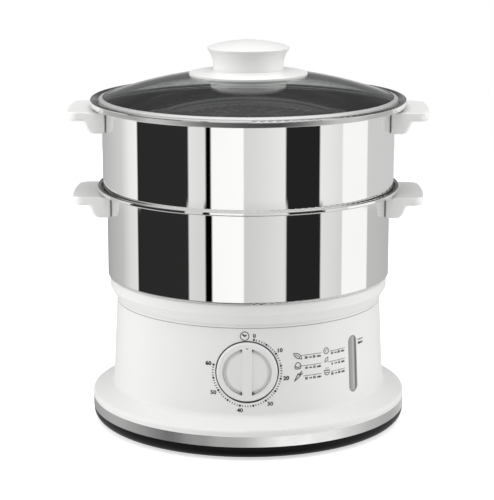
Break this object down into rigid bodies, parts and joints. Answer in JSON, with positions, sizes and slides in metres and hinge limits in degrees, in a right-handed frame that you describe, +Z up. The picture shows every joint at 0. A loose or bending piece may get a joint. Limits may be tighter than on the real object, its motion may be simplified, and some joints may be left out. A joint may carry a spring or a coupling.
{
  "type": "electric food steamer",
  "caption": "Round two-tier electric steamer: white base with timer knob and water window, stacked polished steel bowls with side handles, domed glass lid.",
  "frame": {"origin": "centre of the circle of rubber feet, on the surface that the steamer stands on", "axes": "+Z up, -Y the front with the timer knob, +X towards the handles on the viewer's right"},
  "size_m": [0.2892, 0.256, 0.31],
  "materials": {
    "white_plastic": "glossy white polypropylene",
    "black_plastic": "fine satin black",
    "polished_steel": "mirror-polished stainless steel",
    "brushed_ring": "brushed bright ring",
    "lid_glass": "clear tempered glass",
    "gauge_clear": "smoked clear plastic window",
    "rubber_black": "matt rubber",
    "silicone": "translucent silicone",
    "gasket_grey": "grey rubber seal",
    "zinc_steel": "zinc-plated steel",
    "brass_gear": "machined brass",
    "element_sheath": "dull sheathed heater tube",
    "white_acetal": "self-coloured moulding"
  },
  "bodies": {
    "base": {"base_housing": "white_plastic", "trim_ring": "brushed_ring", "bottom_cover": "black_plastic", "rubber_feet": "rubber_black", "cover_screws": "zinc_steel", "gauge_window": "gauge_clear", "gauge_gasket": "gasket_grey", "heating_plate": "polished_steel", "heating_element": "element_sheath", "heater_seal": "silicone", "heater_clamp_ring": "zinc_steel", "heater_screws": "zinc_steel", "thermostat": "black_plastic", "thermal_fuse": "zinc_steel", "timer_case": "zinc_steel", "timer_back_plate": "zinc_steel", "timer_mainspring": "zinc_steel", "timer_bell": "brass_gear", "timer_screws": "zinc_steel", "terminal_block": "white_acetal", "cord_gland": "rubber_black", "cord_clamp": "white_acetal"},
    "timer_dial": {"timer_knob": "white_plastic", "timer_shaft": "zinc_steel", "timer_drive_gear": "brass_gear"},
    "timer_escape": {"escape_arbor": "brass_gear", "escape_wheel": "brass_gear"},
    "turbo": {"turbo_ring": "white_acetal"},
    "tray": {"drip_tray": "white_plastic", "drip_tray_rim": "white_plastic", "drip_tray_chimney": "white_plastic"},
    "lower_tier": {"lower_bowl": "polished_steel", "lower_left_handle": "white_plastic", "lower_right_handle": "white_plastic", "lower_handle_screws": "zinc_steel"},
    "lower_rack": {"lower_grid": "polished_steel"},
    "upper_tier": {"upper_bowl": "polished_steel", "upper_left_handle": "white_plastic", "upper_right_handle": "white_plastic", "upper_handle_screws": "zinc_steel"},
    "upper_rack": {"upper_grid": "polished_steel"},
    "lid": {"lid_glass": "lid_glass", "lid_band": "polished_steel", "lid_gasket": "silicone", "lid_knob": "white_plastic", "lid_knob_base": "white_plastic", "lid_knob_washer": "white_plastic", "lid_knob_screw": "zinc_steel"}
  },
  "joints": [
    {"name": "timer_turn", "type": "hinge", "parent": "base", "child": "timer_dial", "pos_m": [0, -0.1058, 0.0661], "axis": [0, 1, 0], "range_deg": [0, 283]},
    {"name": "escape_turn", "type": "hinge", "parent": "base", "child": "timer_escape", "pos_m": [0, -0.0871, 0.0821], "axis": [0, 1, 0], "range_deg": [-1140, 8]},
    {"name": "turbo_ring_lift", "type": "slide", "parent": "base", "child": "turbo", "axis": [0, 0, 1], "range_m": [0, 0.01]},
    {"name": "drip_tray_lift", "type": "slide", "parent": "base", "child": "tray", "axis": [0, 0, 1], "range_m": [0, 0.12]},
    {"name": "lower_bowl_lift", "type": "slide", "parent": "tray", "child": "lower_tier", "axis": [0, 0, 1], "range_m": [0, 0.12]},
    {"name": "lower_grid_lift", "type": "slide", "parent": "lower_tier", "child": "lower_rack", "axis": [0, 0, 1], "range_m": [0, 0.055]},
    {"name": "upper_bowl_lift", "type": "slide", "parent": "lower_tier", "child": "upper_tier", "axis": [0, 0, 1], "range_m": [0, 0.12]},
    {"name": "upper_grid_lift", "type": "slide", "parent": "upper_tier", "child": "upper_rack", "axis": [0, 0, 1], "range_m": [0, 0.05]},
    {"name": "lid_lift", "type": "slide", "parent": "upper_tier", "child": "lid", "axis": [0, 0, 1], "range_m": [0, 0.12]}
  ],
  "couplings": [
    {"joint": "escape_turn", "follows": "timer_turn", "ratio": -4}
  ]
}
